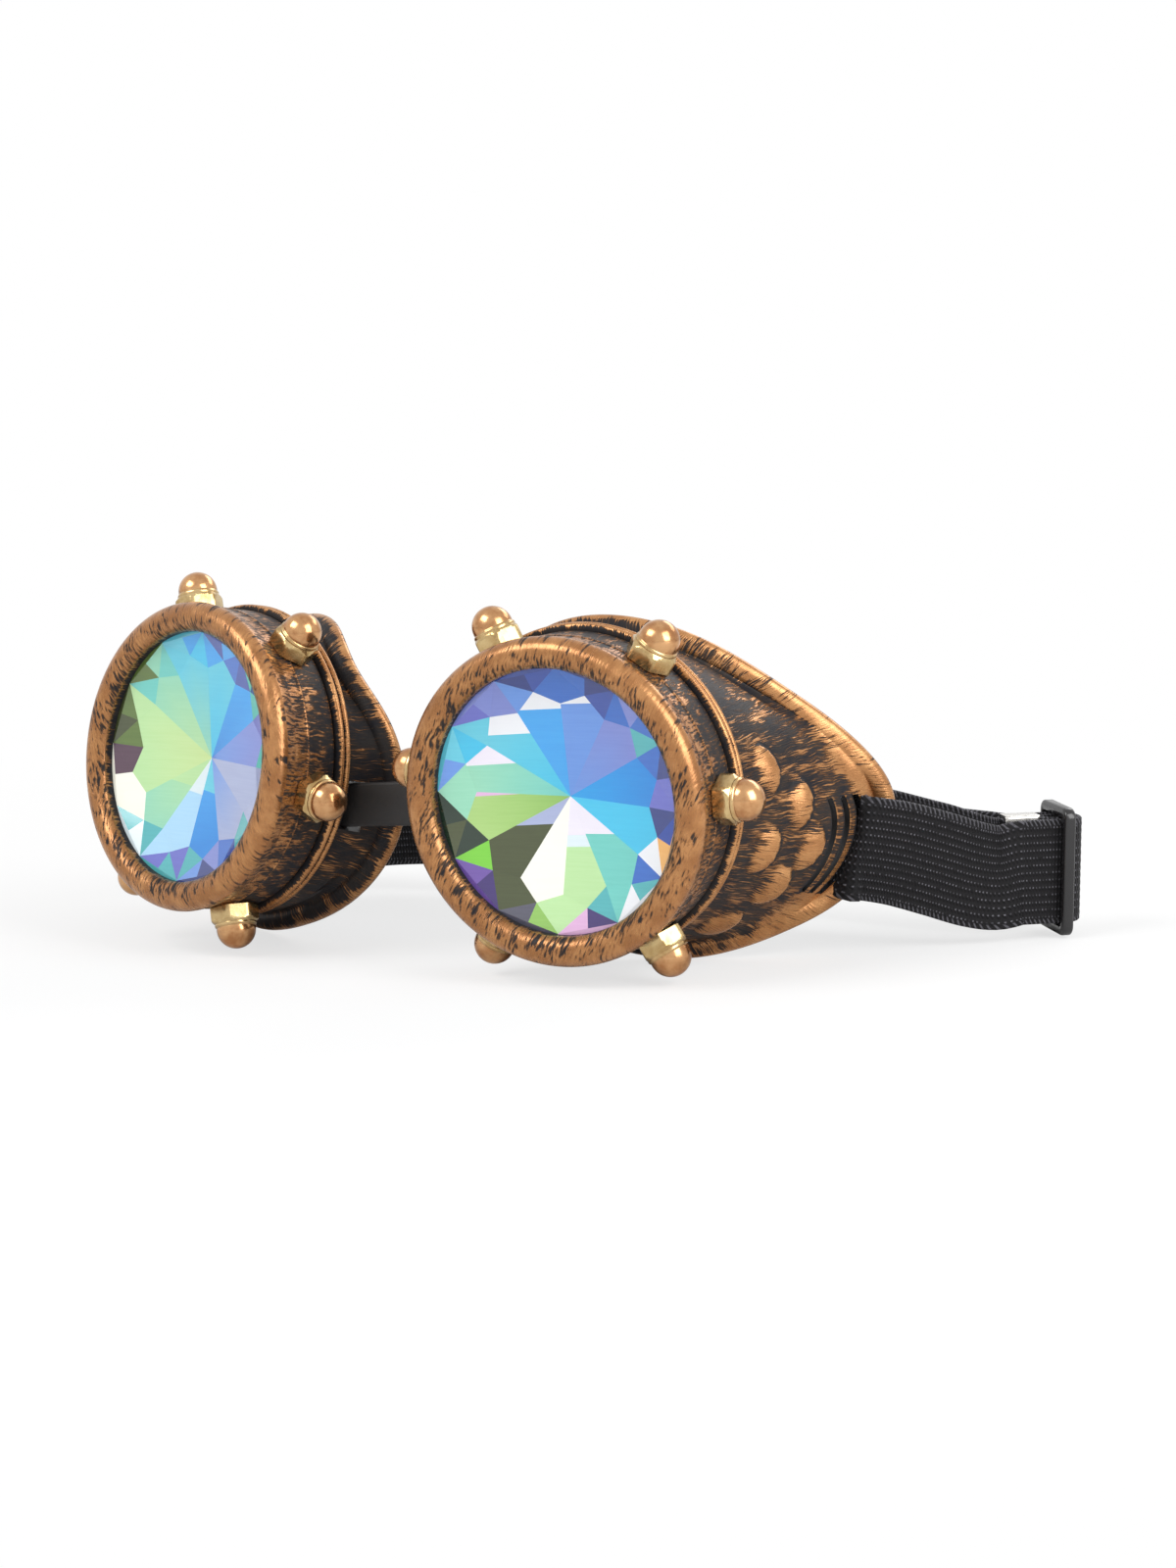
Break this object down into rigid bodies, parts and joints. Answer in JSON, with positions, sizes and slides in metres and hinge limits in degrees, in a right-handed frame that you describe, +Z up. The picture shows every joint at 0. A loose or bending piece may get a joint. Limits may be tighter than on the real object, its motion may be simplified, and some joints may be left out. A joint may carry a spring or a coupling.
{
  "type": "goggles",
  "caption": "Steampunk goggles: two flared eye cups with screw-on lens rings ringed by dome nuts, faceted colour lenses, a nose band and an elastic strap with slider.",
  "frame": {"origin": "bottom centre of the whole part's box as it stands on a table", "axes": "+X from the left cup to the right cup as seen from the front, +Y from the lenses back to the strap, +Z up"},
  "size_m": [0.1874, 0.0922, 0.0699],
  "materials": {
    "cup_paint": "black paint dry-brushed with copper",
    "ring_paint": "copper lip, dark dry-brushed wall",
    "lens": "faceted, with a colour film",
    "nut_brass": "polished",
    "stud_steel": "plain",
    "seal_rubber": "matte",
    "band_rubber": "smooth matte",
    "elastic": "ribbed woven elastic",
    "slider_plastic": "glossy",
    "crimp_steel": "bright"
  },
  "bodies": {
    "right_cup": {"right_eye_cup": "cup_paint", "right_lens_seal": "seal_rubber", "nose_band": "band_rubber", "strap_front_run": "elastic", "strap_inner_run": "elastic", "strap_back_run": "elastic"},
    "left_cup": {"left_eye_cup": "cup_paint", "left_lens_seal": "seal_rubber", "strap_left_inner": "elastic", "strap_left_outer": "elastic", "left_strap_crimp": "crimp_steel"},
    "right_lens": {"right_lens": "lens"},
    "left_lens": {"left_lens": "lens"},
    "right_ring": {"right_lens_ring": "ring_paint", "right_dome_nuts": "nut_brass", "right_nut_studs": "stud_steel"},
    "left_ring": {"left_lens_ring": "ring_paint", "left_dome_nuts": "nut_brass", "left_nut_studs": "stud_steel"},
    "slider": {"strap_slider": "slider_plastic", "slider_crimp": "crimp_steel", "strap_fold": "elastic", "strap_end_loop": "elastic"}
  },
  "joints": [
    {"name": "bridge_fold", "type": "hinge", "parent": "right_cup", "child": "left_cup", "pos_m": [-0.00864, -0.02482, 0.02836], "axis": [0.0558, 0, 0.9984], "range_deg": [-45, 25], "stiffness_Nm_per_rad": 0.03, "deforming": ["nose_band", "strap_back_run"]},
    {"name": "right_ring_advance", "type": "slide", "parent": "right_cup", "child": "right_lens", "axis": [0.1527, -0.9875, -0.0383], "range_m": [0, 0.006]},
    {"name": "right_ring_turn", "type": "hinge", "parent": "right_lens", "child": "right_ring", "pos_m": [0.03434, -0.0382, 0.03228], "axis": [0.1527, -0.9875, -0.0383], "range_deg": [0, 720]},
    {"name": "left_ring_advance", "type": "slide", "parent": "left_cup", "child": "left_lens", "axis": [-0.1438, -0.9758, 0.1647], "range_m": [0, 0.006]},
    {"name": "left_ring_turn", "type": "hinge", "parent": "left_lens", "child": "left_ring", "pos_m": [-0.05073, -0.0382, 0.03704], "axis": [-0.1438, -0.9758, 0.1647], "range_deg": [0, 720]},
    {"name": "slider_slide", "type": "slide", "parent": "right_cup", "child": "slider", "axis": [0.6418, 0.766, -0.0359], "range_m": [-0.016, 0.012], "deforming": ["strap_front_run", "strap_inner_run", "strap_back_run"]}
  ],
  "couplings": [
    {"joint": "right_ring_advance", "follows": "right_ring_turn", "m_per_rad": 0.00047746},
    {"joint": "left_ring_advance", "follows": "left_ring_turn", "m_per_rad": 0.00047746}
  ]
}
